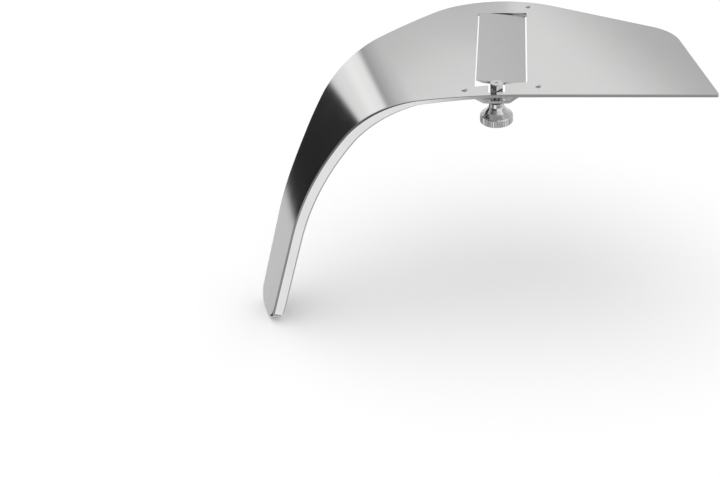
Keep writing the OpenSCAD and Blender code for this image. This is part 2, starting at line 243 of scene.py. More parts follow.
def metal(name, tint, rough, grain, bump=0.02, spread=0.05, turned=None, smudge=0.03):
    """A metal with grain. Grain is the noise's frequency per mm along x, y and z."""
    finish = bpy.data.materials.new(name + "_finish")
    finish["slot"] = name
    finish.use_nodes = True
    tree = finish.node_tree
    shader = tree.nodes["Principled BSDF"]
    shader.inputs["Metallic"].default_value = 1.0

    def add(kind, **settings):
        node = tree.nodes.new(kind)
        for key, value in settings.items():
            setattr(node, key, value)
        return node

    place = add("ShaderNodeTexCoord")
    aim = add("ShaderNodeMapping", vector_type="TEXTURE")
    aim.inputs["Rotation"].default_value = (0, 0, math.radians(19) if turned is None else 0)
    tree.links.new(place.outputs["Object"], aim.inputs["Vector"])
    where = aim.outputs[0]
    if turned is not None:
        aim.inputs["Location"].default_value = turned
        split = add("ShaderNodeSeparateXYZ")
        tree.links.new(where, split.inputs[0])
        flat_part = add("ShaderNodeCombineXYZ")
        tree.links.new(split.outputs[0], flat_part.inputs[0])
        tree.links.new(split.outputs[1], flat_part.inputs[1])
        radius = add("ShaderNodeVectorMath", operation="LENGTH")
        tree.links.new(flat_part.outputs[0], radius.inputs[0])
        rings = add("ShaderNodeCombineXYZ")
        tree.links.new(radius.outputs["Value"], rings.inputs[0])
        tree.links.new(split.outputs[2], rings.inputs[2])
        where = rings.outputs[0]
    stretch = add("ShaderNodeVectorMath", operation="MULTIPLY")
    stretch.inputs[1].default_value = [g / MM for g in grain]
    tree.links.new(where, stretch.inputs[0])
    lines = add("ShaderNodeTexNoise")
    lines.inputs["Scale"].default_value = 1.0
    lines.inputs["Detail"].default_value = 4.0
    lines.inputs["Roughness"].default_value = 0.65
    tree.links.new(stretch.outputs[0], lines.inputs["Vector"])
    marks = add("ShaderNodeTexNoise")
    marks.inputs["Scale"].default_value = 90.0
    marks.inputs["Detail"].default_value = 3.0
    tree.links.new(place.outputs["Object"], marks.inputs["Vector"])

    both = add("ShaderNodeMath", operation="MULTIPLY_ADD")
    tree.links.new(marks.outputs[0], both.inputs[0])
    both.inputs[1].default_value = 0.5
    tree.links.new(lines.outputs[0], both.inputs[2])
    level = add("ShaderNodeMapRange")
    level.inputs["From Min"].default_value = 0.35
    level.inputs["From Max"].default_value = 1.15
    level.inputs["To Min"].default_value = max(0.02, rough - spread)
    level.inputs["To Max"].default_value = rough + spread
    tree.links.new(both.outputs[0], level.inputs["Value"])
    edge = add("ShaderNodeAttribute", attribute_name="edge")
    worn = add("ShaderNodeMath", operation="MULTIPLY")
    tree.links.new(edge.outputs["Fac"], worn.inputs[0])
    tree.links.new(marks.outputs[0], worn.inputs[1])
    calm = add("ShaderNodeMath", operation="MULTIPLY_ADD")
    tree.links.new(worn.outputs[0], calm.inputs[0])
    calm.inputs[1].default_value = -rough * 0.5
    tree.links.new(level.outputs[0], calm.inputs[2])
    tree.links.new(calm.outputs[0], shader.inputs["Roughness"])

    tone = add("ShaderNodeMix", data_type="RGBA")
    tone.inputs["A"].default_value = (*[c * (1 - smudge) for c in tint], 1)
    tone.inputs["B"].default_value = (*[min(1, c * (1 + smudge)) for c in tint], 1)
    tree.links.new(both.outputs[0], tone.inputs["Factor"])
    bright = add("ShaderNodeMix", data_type="RGBA")
    bright.inputs["B"].default_value = (0.92, 0.92, 0.92, 1)
    tree.links.new(tone.outputs["Result"], bright.inputs["A"])
    tree.links.new(worn.outputs[0], bright.inputs["Factor"])
    tree.links.new(bright.outputs["Result"], shader.inputs["Base Color"])

    relief = add("ShaderNodeBump")
    relief.inputs["Strength"].default_value = 1.0
    relief.inputs["Distance"].default_value = bump * MM
    tree.links.new(lines.outputs[0], relief.inputs["Height"])
    tree.links.new(relief.outputs[0], shader.inputs["Normal"])
    return finish


polished_steel = metal("polished_steel", (0.80, 0.80, 0.795), 0.08, (0.05, 5, 0.05), 0.0006, 0.02)
print("finish:", polished_steel.name)

# %% [markdown]
# The plate has a long, fine polishing grain that follows its length round the
# bend. The blade is ground across, with a coarser grain. Turned pieces carry
# rings round their axis. The other sheet pieces are plain pressed steel.

# %% Make the other finishes
BOLT_X, BOLT_Y = 0.2, 5.1
on_bolt = (BOLT_X * MM, BOLT_Y * MM, 0)
ground_steel = metal("ground_steel", (0.70, 0.70, 0.70), 0.24, (0.12, 7, 7), 0.002, 0.06)
spring_steel = metal("spring_steel", (0.52, 0.53, 0.55), 0.28, (0.2, 6, 6), 0.002, 0.06)
pressed_steel = metal("pressed_steel", (0.72, 0.72, 0.73), 0.17, (0.3, 5, 5), 0.001, 0.05)
bright_steel = metal("bright_steel", (0.78, 0.78, 0.78), 0.14, (2, 2, 2), 0.0015, 0.05)
turned_steel = metal("turned_steel", (0.84, 0.84, 0.85), 0.10, (9, 0.1, 9), 0.0006, 0.04, on_bolt)
print("finishes:", [m.name for m in bpy.data.materials])

# %% [markdown]
# The friction washer is a dark plastic ring. Plastic is not a metal, so it
# gets a plain glossy coat over a dark body, with a fine moulded grain.

# %% Make the plastic
black_nylon = bpy.data.materials.new("black_nylon_finish")
black_nylon["slot"] = "black_nylon"
black_nylon.use_nodes = True
nylon = black_nylon.node_tree
nylon_shader = nylon.nodes["Principled BSDF"]
nylon_grain = nylon.nodes.new("ShaderNodeTexNoise")
nylon_grain.inputs["Scale"].default_value = 6000
nylon_place = nylon.nodes.new("ShaderNodeTexCoord")
nylon.links.new(nylon_place.outputs["Object"], nylon_grain.inputs["Vector"])
nylon_tone = nylon.nodes.new("ShaderNodeMix")
nylon_tone.data_type = "RGBA"
nylon_tone.inputs["A"].default_value = (0.012, 0.012, 0.013, 1)
nylon_tone.inputs["B"].default_value = (0.030, 0.030, 0.032, 1)
nylon.links.new(nylon_grain.outputs[0], nylon_tone.inputs["Factor"])
nylon.links.new(nylon_tone.outputs["Result"], nylon_shader.inputs["Base Color"])
nylon_bump = nylon.nodes.new("ShaderNodeBump")
nylon_bump.inputs["Distance"].default_value = 0.01 * MM
nylon.links.new(nylon_grain.outputs[0], nylon_bump.inputs["Height"])
nylon.links.new(nylon_bump.outputs[0], nylon_shader.inputs["Normal"])
nylon_shader.inputs["Roughness"].default_value = 0.42
print("plastic:", black_nylon.name)

# %% [markdown]
# ## Bent sheets
# Most pieces are sheet metal: two faces a thickness apart, walls between them,
# and slightly rounded edges. A boolean and a bevel could cut them, but on a
# mirror finish their uneven faces show. Here each sheet is laid out flat as
# outlines, filled with triangles, and then mapped onto its bent shape, so its
# normals are exact.

# %% Helpers for outlines


def unit(vectors):
    """Each row scaled to length one."""
    vectors = np.asarray(vectors, float)
    return vectors / np.maximum(np.linalg.norm(vectors, axis=-1, keepdims=True), 1e-12)


def rounded(corners, steps=8, longest=1.0):
    """Closed outline through [x, y, radius] corners, with long sides divided."""
    corners = np.asarray(corners, float)
    outline = []
    for number, (x, y, radius) in enumerate(corners):
        here = np.array([x, y])
        back = unit(corners[number - 1, :2] - here)
        ahead = unit(corners[(number + 1) % len(corners), :2] - here)
        if radius <= 0:
            outline.append(here)
            continue
        half = math.acos(np.clip(back @ ahead, -1, 1)) / 2
        centre = here + unit(back + ahead) * radius / math.sin(half)
        first = here + back * radius / math.tan(half) - centre
        sweep = (math.pi - 2 * half) * (-1 if back[0] * ahead[1] - back[1] * ahead[0] > 0 else 1)
        for step in range(steps + 1):
            w = sweep * step / steps
            outline.append(centre + [first[0] * math.cos(w) - first[1] * math.sin(w),
                                     first[0] * math.sin(w) + first[1] * math.cos(w)])
    return divided(np.array(outline), longest)


def divided(outline, longest, closed=True):
    """The outline with every long side cut into equal parts."""
    made = []
    count = len(outline)
    for number in range(count if closed else count - 1):
        a, b = outline[number], outline[(number + 1) % count]
        parts = max(1, math.ceil(np.linalg.norm(b - a) / longest - 1e-6))
        made += [a + (b - a) * k / parts for k in range(parts)]
    if not closed:
        made.append(outline[-1])
    return np.array(made)


def ring(x, y, radius, count=28):
    """A hole's outline, clockwise."""
    w = -2 * np.pi * np.arange(count) / count
    return np.stack([x + radius * np.cos(w), y + radius * np.sin(w)], 1)


def inset(outline, amount):
    """The outline moved to its left by an amount, with mitred corners."""
    before = unit(outline - np.roll(outline, 1, 0))
    after = unit(np.roll(outline, -1, 0) - outline)
    left = unit(np.stack([-(before + after)[:, 1], (before + after)[:, 0]], 1))
    cosine = (left * np.stack([-after[:, 1], after[:, 0]], 1)).sum(1)
    return outline + left * (np.broadcast_to(amount, len(outline)) / np.maximum(cosine, 0.3))[:, None]


print("a 10 by 4 outline has", len(rounded([[0, 0, 1], [10, 0, 1], [10, 4, 1], [0, 4, 1]])), "points")

# %% [markdown]
# Filling the flat layout is a triangulation problem. Blender's constrained
# Delaunay routine keeps every outline edge, and triangles that fall in a hole
# or outside are thrown away.

# %% Fill a layout with triangles


def inside(points, outline):
    """Which points lie inside a closed outline."""
    x, y = points[:, 0:1], points[:, 1:2]
    x0, y0 = outline[:, 0], outline[:, 1]
    x1, y1 = np.roll(x0, -1), np.roll(y0, -1)
    rising = np.where(y1 == y0, 1e-12, y1 - y0)
    hits = ((y0 > y) != (y1 > y)) & (x < x0 + (y - y0) * (x1 - x0) / rising)
    return hits.sum(1) % 2 == 1


def filled(outlines, extra, lines=()):
    """Triangles over outer outline minus holes, as numbers into all the points."""
    points = np.concatenate([*outlines, extra]) if len(extra) else np.concatenate(outlines)
    edges, start = [], 0
    for outline in outlines:
        count = len(outline)
        edges += [(start + k, start + (k + 1) % count) for k in range(count)]
        start += count
    edges += [(start + a, start + b) for a, b in lines]
    made = delaunay_2d_cdt([Vector(p) for p in points], edges, [], 0, 1e-7, True)
    number = [ids[0] if ids else -1 for ids in made[3]]
    triangles = np.array([[number[k] for k in face] for face in made[2]])
    if (triangles < 0).any():
        raise ValueError("an outline crosses itself")
    centres = points[triangles].mean(1)
    keep = inside(centres, outlines[0])
    for hole in outlines[1:]:
        keep &= ~inside(centres, hole)
    return triangles[keep]


def clear_of(points, outlines, gap):
    """The points inside the layout and no nearer than gap to any outline."""
    keep = inside(points, outlines[0])
    for hole in outlines[1:]:
        keep &= ~inside(points, hole)
    edge_points = np.concatenate(outlines)
    for number in np.nonzero(keep)[0]:
        keep[number] = ((edge_points - points[number]) ** 2).sum(1).min() > gap * gap
    return points[keep]


print("triangles in a unit square:", len(filled([np.array([[0, 0], [1, 0], [1, 1], [0, 1.0]])], [])))

# %% [markdown]
# The sheet itself: top and under faces from two mapping functions, and round
# every outline a strip that rolls over the top edge, drops down the wall and
# rolls under.

# %% Build a sheet


def sheet(top, under, outlines, under_outlines, soft, extra=(), lines=(), rolls=4, squeeze=1.0):
    """Points, faces, normals and edge wear of a sheet with rounded edges."""
    softs = [np.broadcast_to(s, len(o)) for s, o in zip(soft, outlines)]
    tops = [inset(o, s) for o, s in zip(outlines, softs)]
    unders = [inset(o, s) for o, s in zip(under_outlines, softs)]
    narrow = np.array([1.0, squeeze])
    faces, points, normals, wear = [], [], [], []
    top_all = np.concatenate([*tops, extra]) if len(extra) else np.concatenate(tops)
    under_all = np.concatenate([*unders, extra]) if len(extra) else np.concatenate(unders)
    scaled = np.asarray(extra, float) * narrow if len(extra) else []
    top_triangles = filled([o * narrow for o in tops], scaled, lines)
    under_triangles = filled([o * narrow for o in unders], scaled, lines)
    for mapping, layout, sign in ((top, top_all, 1), (under, under_all, -1)):
        place, normal = mapping(layout)
        points.append(place)
        normals.append(normal * sign)
        wear.append(np.zeros(len(place)))
    shift = len(top_all)
    faces += [tuple(int(k) for k in t) for t in top_triangles]
    faces += [tuple(int(k) + shift for k in t[::-1]) for t in under_triangles]
    total = shift + len(under_all)
    start = 0
    for outline, under_outline, amount in zip(outlines, under_outlines, softs):
        count = len(outline)
        upper, upper_normal = top(outline)
        lower, lower_normal = under(under_outline)
        down = unit(lower - upper)
        along = unit(np.roll(upper, -1, 0) - np.roll(upper, 1, 0))
        outward = unit(np.cross(along, -down))
        rings = [np.arange(start, start + count)]
        for corner, first, last, face_normal in (
                (upper, points[0][start:start + count], upper + down * amount[:, None], upper_normal),
                (lower, points[1][start:start + count], lower - down * amount[:, None], -lower_normal)):
            opening = (unit(first - corner) * unit(last - corner)).sum(1)
            weight = np.sin(np.arccos(np.clip(opening, -1, 1)) / 2)
            made = []
            for step in range(1, rolls + 1):
                t = step / rolls
                a, b, c = (1 - t) ** 2, 2 * t * (1 - t) * weight, t * t
                place = (a * first + b[:, None] * corner + c * last) / (a + b + c)[:, None]
                made.append((place, unit(face_normal * math.cos(t * math.pi / 2)
                                         + outward * math.sin(t * math.pi / 2))))
            if corner is lower:
                made = made[::-1]
            for place, normal in made:
                points.append(place)
                normals.append(normal)
                wear.append(np.ones(count))
                rings.append(np.arange(total, total + count))
                total += count
        rings.append(np.arange(shift + start, shift + start + count))
        for high_ring, low_ring in zip(rings, rings[1:]):
            for k in range(count):
                m = (k + 1) % count
                faces.append((int(high_ring[k]), int(low_ring[k]), int(low_ring[m]), int(high_ring[m])))
        start += count
    return np.concatenate(points), faces, np.concatenate(normals), np.concatenate(wear)


def piece(name, points, faces, finish, body, node, normals=None, wear=None):
    """A mesh object in the frame, riding on a body and standing for CAD nodes."""
    mesh = bpy.data.meshes.new(name)
    mesh.from_pydata([tuple(p) for p in np.asarray(points) * MM], [], faces)
    mesh.shade_smooth()
    mesh.materials.append(finish)
    edge_wear = mesh.attributes.new("edge", "FLOAT", "POINT")
    if wear is not None:
        edge_wear.data.foreach_set("value", np.asarray(wear, dtype=np.float32))
    if normals is not None:
        mesh.normals_split_custom_set_from_vertices([tuple(n) for n in normals])
    made = bpy.data.objects.new(name, mesh)
    bpy.context.scene.collection.objects.link(made)
    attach(made, body)
    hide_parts(node)
    print(name, "has", len(mesh.polygons), "faces")
    return made


# %% [markdown]
# ## Plate and grip
# One sheet of steel makes the plate and the grip. The plate is thin and flat.
# It bends slowly, then tightly, about an axis that is skewed to the plate, and
# thickens on the way to the grip. The bend is described by its slope at each
# place along the sheet.

# %% Describe the bend
SKEW = math.radians(19)
PLATE_T, GRIP_T = 1.2, 4.3
BEND_START = 11
arcs = [(290, 7.5), (40, 45), (125, 23)]
arc_lengths = [radius * math.radians(angle) for radius, angle in arcs]
TAIL = 60
STEP = 0.02
stations = np.arange(0, sum(arc_lengths) + TAIL, STEP)
slopes = np.interp(stations, np.cumsum([0, *arc_lengths]), np.radians(np.cumsum([0, 7.5, 45, 23])))


def running(values):
    """Running integral of values over the stations."""
    return np.concatenate([[0], np.cumsum((values[1:] + values[:-1]) / 2 * STEP)])


across_line = BEND_START - running(np.cos(slopes))
height_line = -running(np.sin(slopes))


def thickness(slope):
    """Thickness grows with the slope, from the plate's to the grip's."""
    share = np.clip((np.degrees(slope) - 2.5) / 43.5, 0, 1)
    return PLATE_T + (GRIP_T - PLATE_T) * share * (2 - share)


def bend_at(s, deep):
    """Across, height and slope of the top line, or the under line, at s along the sheet."""
    slope = np.interp(-s, stations, slopes)
    across = np.where(s > 0, BEND_START + s, np.interp(-s, stations, across_line))
    height = np.where(s > 0, 0.0, np.interp(-s, stations, height_line))
    if deep:
        across = across + thickness(slope) * np.sin(slope)
        height = height - thickness(slope) * np.cos(slope)
    return across, height, slope


print("sheet length from bend to tail:", round(float(stations[-1]), 1), "mm")

# %% [markdown]
# The mapping takes a place in the flat layout, along the sheet and along the
# skewed bend lines, to its place in the frame.

# %% Map the layout onto the bend


def body_face(deep):
    """Mapping of the plate's top face, or of its under face."""
    def mapping(layout):
        s, w = layout[:, 0], layout[:, 1]
        across, height, slope = bend_at(s, deep)
        if deep:
            ahead, behind = bend_at(s + 0.05, True), bend_at(s - 0.05, True)
            slope = np.arctan2(ahead[1] - behind[1], ahead[0] - behind[0])
        place = np.stack([across * math.cos(SKEW) - w * math.sin(SKEW),
                          across * math.sin(SKEW) + w * math.cos(SKEW), height], 1)
        normal = np.stack([-np.sin(slope) * math.cos(SKEW), -np.sin(slope) * math.sin(SKEW),
                           np.cos(slope)], 1)
        return place, normal
    return mapping


TABLE = np.arange(-(sum(arc_lengths) + TAIL - 1), 120, 0.05)


def from_plan(points, deep):
    """Layout places of points given by x and y."""
    points = np.asarray(points, float)
    across = points[:, 0] * math.cos(SKEW) + points[:, 1] * math.sin(SKEW)
    s = np.interp(across, bend_at(TABLE, deep)[0], TABLE)
    return np.stack([s, points[:, 1] * math.cos(SKEW) - points[:, 0] * math.sin(SKEW)], 1)


def from_side(points, deep):
    """Layout places of points on the grip given by y and z."""
    points = np.asarray(points, float)
    across, height, _ = bend_at(TABLE, deep)
    grip = height < -40
    s = np.interp(points[:, 1], height[grip], TABLE[grip])
    e = np.interp(s, TABLE, across)
    x = (e - points[:, 0] * math.sin(SKEW)) / math.cos(SKEW)
    return np.stack([s, points[:, 0] * math.cos(SKEW) - x * math.sin(SKEW)], 1)


print("the tip is at", from_plan([[80, 0]], False).round(2), "in the layout")

# %% [markdown]
# The outline: a straight near edge, a pointed tip, a leaning end, a crown, a
# neck that runs in to the grip, and the grip's rounded end.

# %% Draw the plate's outline
GRIP_W, GRIP_DROP, GRIP_END_R = 22, 104, 8
plan_corners = [[80, 0, 0.8], [68.5, 56, 19], [-3.7, 96.2, 42], [-68.5, 37.4, 16],
                [-80, GRIP_W + 2.5, 20], [-100, GRIP_W - 1, 0], [-100, 0, 0]]


def plate_outline(deep):
    """Closed outline in the layout of the top face, or of the under face."""
    plan = rounded(plan_corners, 24, 0.9)
    far = plan[(plan[:, 1] > 1e-6) | (plan[:, 0] > 79)]
    far = far[:np.argmin(far[:, 0]) + 1]
    far_layout = from_plan(far, deep)
    side = rounded([[0, -60, 0], [GRIP_W + 18, -60, 0], [GRIP_W + 1.5, -GRIP_DROP + 20, 0],
                    [GRIP_W - 0.9, -GRIP_DROP, GRIP_END_R], [0, -GRIP_DROP, GRIP_END_R]], 30, 0.9)
    side = side[side[:, 1] < -60.5]
    end_layout = from_side(side, deep)
    order = np.argsort(far_layout[:, 0])
    limit = np.interp(end_layout[:, 0], far_layout[order, 0], far_layout[order, 1])
    first = int(np.argmax(end_layout[:, 1] < limit))
    last = int(np.argmax(side[:, 0] < 1e-6))
    end_layout = end_layout[first:last + 1]
    far_layout = far_layout[far_layout[:, 0] > end_layout[0, 0] + 0.3]
    x_first = body_face(deep)(end_layout[-1:])[0][0, 0]
    near_x = np.arange(x_first + 0.25, 79.2 - 0.3, 0.35)
    near_layout = from_plan(np.stack([near_x, 0 * near_x], 1), deep)
    return np.concatenate([near_layout, far_layout, end_layout])


outer = plate_outline(False)
print("outline points:", len(outer), "from", outer.min(0).round(1), "to", outer.max(0).round(1))

# %% [markdown]
# The side walls stand square to the frame, not to the sheet, so each point of
# the top outline is joined to the nearest point of the under outline.

# %% Join the outlines


def nearest_on(points, path):
    """For each point, where along a closed path the nearest place lies."""
    following = np.roll(path, -1, 0)
    sides = following - path
    lengths = np.maximum((sides ** 2).sum(1), 1e-12)
    found = []
    for point in points:
        share = np.clip(((point - path) * sides).sum(1) / lengths, 0, 1)
        gaps = ((path + sides * share[:, None] - point) ** 2).sum(1)
        best = int(gaps.argmin())
        found.append((best, share[best]))
    return found


def joined(outline, under_outline):
    """The under outline's layout places that face each place of the top outline."""
    dense = divided(under_outline, 0.25)
    path = body_face(True)(dense)[0]
    following = np.roll(dense, -1, 0)
    return np.array([dense[k] + (following[k] - dense[k]) * t
                     for k, t in nearest_on(body_face(False)(outline)[0], path)])


under_outer = joined(outer, plate_outline(True))
print("joined; largest shift", round(float(np.abs(under_outer - outer).max()), 2), "mm")

# %% [markdown]
# The window, with the notch for the blade's tongue, and the three rivet holes
# are cut in the same layout. The window's near edge is slanted. The notch is
# 0.2 mm deeper than the frame's, so that the bolt's head clears it at its lowest.

# %% Cut the window and the holes
LEFT, RIGHT, FAR = -8.0, 11.5, 74.5
NEAR_LEFT, NEAR_RIGHT = 7.5, 10.4
NOTCH_HALF, NOTCH_FRONT = 3.1, 2.3


def near_side(x):
    """Where the window's slanted near edge lies at x."""
    return NEAR_LEFT + (NEAR_RIGHT - NEAR_LEFT) * (x - LEFT) / (RIGHT - LEFT)


notch_left, notch_right = BOLT_X - NOTCH_HALF, BOLT_X + NOTCH_HALF
window = rounded([[LEFT, NEAR_LEFT, 0.6], [LEFT, FAR, 0.6], [RIGHT, FAR, 0.6], [RIGHT, NEAR_RIGHT, 0.6],
                  [notch_right, near_side(notch_right), 0.2], [notch_right, NOTCH_FRONT, 0.3],
                  [notch_left, NOTCH_FRONT, 0.3], [notch_left, near_side(notch_left), 0.2]], 5, 1.2)
RIVETS = [(-11.5, 5.1), (15.5, 6.7), (12.3, 80.7)]
rivet_layout = from_plan(RIVETS, False)
holes = [ring(x, y, 0.82) for x, y in rivet_layout]
outlines = [outer, from_plan(window, False), *holes]
under_outlines = [under_outer, from_plan(window, True), *holes]
print("window and", len(holes), "holes")

# %% [markdown]
# Rows of points along the bend lines keep the triangles small where the sheet
# curves. The flat part needs none. Edges are rolled over more on the grip, as
# a hand would want.

# %% Make the plate and grip
rows = np.concatenate([-np.arange(1.0, arc_lengths[0], 2.4),
                       -arc_lengths[0] - np.arange(0, arc_lengths[1], 0.9),
                       -sum(arc_lengths[:2]) - np.arange(0.5, arc_lengths[2] + 40, 1.8)])
grid = np.array([[s, w] for s in rows for w in np.arange(-20, 110, 2.4)])
softness = 0.16 + 0.62 * (thickness(bend_at(outer[:, 0], False)[2]) - PLATE_T) / (GRIP_T - PLATE_T)
margins = [inset(outlines[0], softness), *[inset(o, 0.12) for o in outlines[1:]]]
under_margins = [inset(under_outlines[0], softness), *[inset(o, 0.12) for o in under_outlines[1:]]]
grid = clear_of(clear_of(grid, margins, 0.7), under_margins, 0.7)
body_mesh = sheet(body_face(False), body_face(True), outlines, under_outlines,
                  [softness, 0.10, 0.03, 0.03, 0.03], grid, squeeze=0.5)
piece("plate_and_grip", *body_mesh[:2], polished_steel, "frame", "body",
      body_mesh[2], body_mesh[3])

# %% [markdown]
# ## Blade
# The blade is a ground bar with a bevel under its left, cutting edge. It is
# tilted so that this edge stands above the plate. A narrow tongue at its near
# end twists level again, so that the bolt's head can sit on it squarely. One
# sheet with a mapping that tilts by place makes bar, bevel and tongue together.

# %% Describe the blade
BLADE_X, BLADE_Z = 1.75, -0.2
BLADE_HALF, BLADE_T, EDGE_T, BEVEL_W = 9.25, 1.0, 0.15, 2.6
BLADE_NEAR, BLADE_FAR = 10.7, 73.7
TILT = math.radians(5.5)
LEVEL_TO, TILTED_FROM = 7.3, 10.5


def sloped(place):
    """A mapping that adds measured normals to a place function."""
    def mapping(layout):
        layout = np.asarray(layout, float)
        small = 0.01
        along = place(layout + [small, 0]) - place(layout - [small, 0])
        beside = place(layout + [0, small]) - place(layout - [0, small])
        return place(layout), unit(np.cross(along, beside))
    return mapping


def blade_place(deep):
    """Places on the blade's top, or on its bevelled under face."""
    def place(layout):
        s, w = layout[:, 0], layout[:, 1]
        share = np.clip((w - LEVEL_TO) / (TILTED_FROM - LEVEL_TO), 0, 1)
        tilt = TILT * share * share * (3 - 2 * share)
        depth = np.minimum(BLADE_T, EDGE_T + (s + BLADE_HALF) * (BLADE_T - EDGE_T) / BEVEL_W) if deep else 0
        return np.stack([BLADE_X + s * np.cos(tilt) - depth * np.sin(tilt), w,
                         BLADE_Z - s * np.sin(tilt) - depth * np.cos(tilt)], 1)
    return place


print("blade is", 2 * BLADE_HALF, "by", round(BLADE_FAR - BLADE_NEAR, 1), "mm")

# %% [markdown]
# The bevel needs a crisp line on the under face, so two close rows of points
# run along it.

# %% Make the blade
tongue_mid = BOLT_X - BLADE_X
blade_outline = rounded([
    [-BLADE_HALF, BLADE_NEAR, 0.25], [tongue_mid - 2.3, BLADE_NEAR, 0.5], [tongue_mid - 2.3, 3.1, 1.3],
    [tongue_mid + 2.3, 3.1, 1.3], [tongue_mid + 2.3, BLADE_NEAR, 0.5], [BLADE_HALF, BLADE_NEAR, 0.4],
    [BLADE_HALF, BLADE_FAR, 0.4], [-BLADE_HALF, BLADE_FAR, 0.25]], 6, 0.8)
crease_rows = np.arange(BLADE_NEAR + 0.4, BLADE_FAR - 0.3, 0.8)
crease = np.concatenate([np.stack([np.full(len(crease_rows), -BLADE_HALF + BEVEL_W + off), crease_rows], 1)
                         for off in (-0.03, 0.03)])
twist = np.array([[tongue_mid + x, y] for x in np.arange(-1.8, 1.9, 0.6) for y in np.arange(7.2, 12, 0.5)])
bolt_hole = ring(tongue_mid, BOLT_Y, 1.5)
blade_mesh = sheet(sloped(blade_place(False)), sloped(blade_place(True)),
                   [blade_outline, bolt_hole], [blade_outline, bolt_hole],
                   [0.05, 0.06], np.concatenate([crease, twist]), rolls=3)
piece("blade", *blade_mesh[:2], ground_steel, "cutter", "blade", blade_mesh[2], blade_mesh[3])

# %% [markdown]
# ## Bent strips
# The bridge under the plate and the hinge's leaf are strips bent along a line.
# Their path is a row of corners with bend radii. The strip's top face follows
# the path and its under face lies a thickness below.

# %% Bend a strip


def bent_path(corners):
    """Places and lengths along an open path of [u, v, radius] corners."""
    corners = np.asarray(corners, float)
    closed = rounded(corners, 10, 0.25)
    start = int(((closed - corners[0, :2]) ** 2).sum(1).argmin())
    closed = np.roll(closed, -start, 0)
    stop = int(((closed - corners[-1, :2]) ** 2).sum(1).argmin())
    path = closed[:stop + 1]
    length = np.concatenate([[0], np.cumsum(np.linalg.norm(np.diff(path, axis=0), axis=1))])
    return path, length


def strip_place(path, length, depth, lay):
    """Places on a strip: s follows the path, w runs across it."""
    smooth = np.arange(0, length[-1], 0.05)
    heading = np.unwrap(np.arctan2(np.gradient(np.interp(smooth, length, path[:, 1])),
                                   np.gradient(np.interp(smooth, length, path[:, 0]))))

    def place(layout):
        s, w = layout[:, 0], layout[:, 1]
        turn_here = np.interp(s, smooth, heading)
        u = np.interp(s, length, path[:, 0]) + depth * np.sin(turn_here)
        v = np.interp(s, length, path[:, 1]) - depth * np.cos(turn_here)
        return lay(u, v, w)
    return place


def strip(path, length, depth, lay, width, holes_at, corner=0.8, soft=0.12):
    """Sheet data of a bent strip between two widths, with holes at (s, w, radius)."""
    outline = rounded([[0.02, width[0], corner], [length[-1] - 0.02, width[0], corner],
                       [length[-1] - 0.02, width[1], corner], [0.02, width[1], corner]], 6, 0.3)
    outlines_here = [outline, *[ring(s, w, radius, 36) for s, w, radius in holes_at]]
    grid_here = np.array([[s, w] for s in np.arange(0.4, length[-1], 0.3)
                          for w in np.arange(width[0] + 0.6, width[1] - 0.4, 0.8)])
    grid_here = clear_of(grid_here, [inset(o, soft) for o in outlines_here], 0.22)
    return sheet(sloped(strip_place(path, length, 0, lay)), sloped(strip_place(path, length, depth, lay)),
                 outlines_here, outlines_here, [soft] + [0.08] * len(holes_at), grid_here, rolls=3)


print("a right-angle path:", len(bent_path([[0, 0, 0], [5, 0, 1], [5, 5, 0]])[0]), "points")

# %% [markdown]
# The bridge is riveted under the plate at both feet and dips below the bolt.
# Its feet follow the plate's under face, which already curves a little on the
# left.

# %% Make the bridge
BRIDGE_Y = (2.0, 8.5)
POCKET = -3.7


def foot(x):
    """Height of the plate's under face at x, over the bridge's near edge."""
    layout = from_plan([[x, BRIDGE_Y[0]]], True)
    return float(bend_at(layout[:, 0], True)[1][0])


bridge_corners = [[-13.98, foot(-13.98), 0], [-10.7, foot(-10.7), 30],
                  [BOLT_X - 7.8, foot(BOLT_X - 7.8), 1.6],
                  [BOLT_X - 4.4, POCKET, 0.9], [BOLT_X + 4.4, POCKET, 0.9],
                  [BOLT_X + 7.8, foot(BOLT_X + 7.8), 1.6], [17.78, -PLATE_T, 0]]
bridge_path, bridge_length = bent_path(bridge_corners)


def on_path(x):
    """Length along the bridge at x."""
    return float(np.interp(x, bridge_path[:, 0], bridge_length))


def lay_bridge(u, v, w):
    """The bridge's path lies in x and z, its width in y."""
    return np.stack([u, w, v], 1)


bridge_mesh = strip(bridge_path, bridge_length, 1.0, lay_bridge, BRIDGE_Y, [
    (on_path(BOLT_X), BOLT_Y, 1.5), (on_path(RIVETS[0][0]), RIVETS[0][1], 0.82),
    (on_path(RIVETS[1][0]), RIVETS[1][1], 0.82)])
piece("bridge", *bridge_mesh[:2], pressed_steel, "frame", "bridge", bridge_mesh[2], bridge_mesh[3])

# %% [markdown]
# The hinge leaf is welded under the blade's far end. It slopes down and curls
# round the hinge pin. It is laid in the blade's tilted directions.

# %% Make the hinge leaf
EYE_Y, EYE_Z, EYE_R = 78.1, -4.8, 1.6
LEAF_HALF, LEAF_T = 4.5, 0.7


def tilted(points):
    """Places from the blade's tilted directions to the frame."""
    x, y, z = np.asarray(points, float).T
    return np.stack([BLADE_X + x * math.cos(TILT) + z * math.sin(TILT), y,
                     BLADE_Z - x * math.sin(TILT) + z * math.cos(TILT)], 1)


